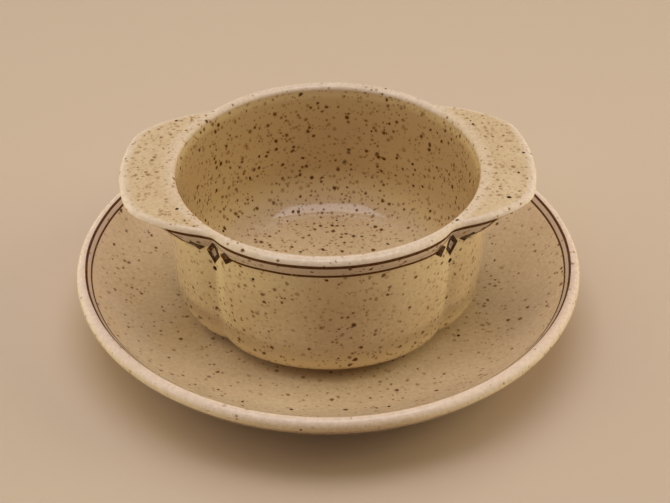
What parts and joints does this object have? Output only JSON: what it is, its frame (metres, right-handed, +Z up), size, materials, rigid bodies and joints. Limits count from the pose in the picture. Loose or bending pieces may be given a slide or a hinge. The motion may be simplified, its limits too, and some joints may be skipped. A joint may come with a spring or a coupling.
{
  "type": "soup cup with saucer",
  "caption": "Stoneware soup cup with flat lug handles flush with its round lip and a softly lobed wall, standing in the well of a matching coupe saucer; the cup lifts off.",
  "frame": {"origin": "middle of the saucer's foot ring, on the surface that it stands on", "axes": "+Z up along the axis of cup and saucer, X through the two lug handles, -Y towards the front of the cup"},
  "size_m": [0.1748, 0.1748, 0.0612],
  "materials": {
    "cup_glaze": "glossy cream stoneware glaze with fine dark brown speckle, brown lines under the lip",
    "saucer_glaze": "glossy cream stoneware glaze with fine dark brown speckle, brown lines inside the rim"
  },
  "bodies": {
    "saucer": {"saucer": "saucer_glaze"},
    "cup": {"cup_bowl": "cup_glaze", "right_lug_handle": "cup_glaze", "left_lug_handle": "cup_glaze"}
  },
  "joints": [
    {"name": "cup_lift", "type": "slide", "parent": "saucer", "child": "cup", "axis": [0, 0, 1], "range_m": [0, 0.08]}
  ]
}
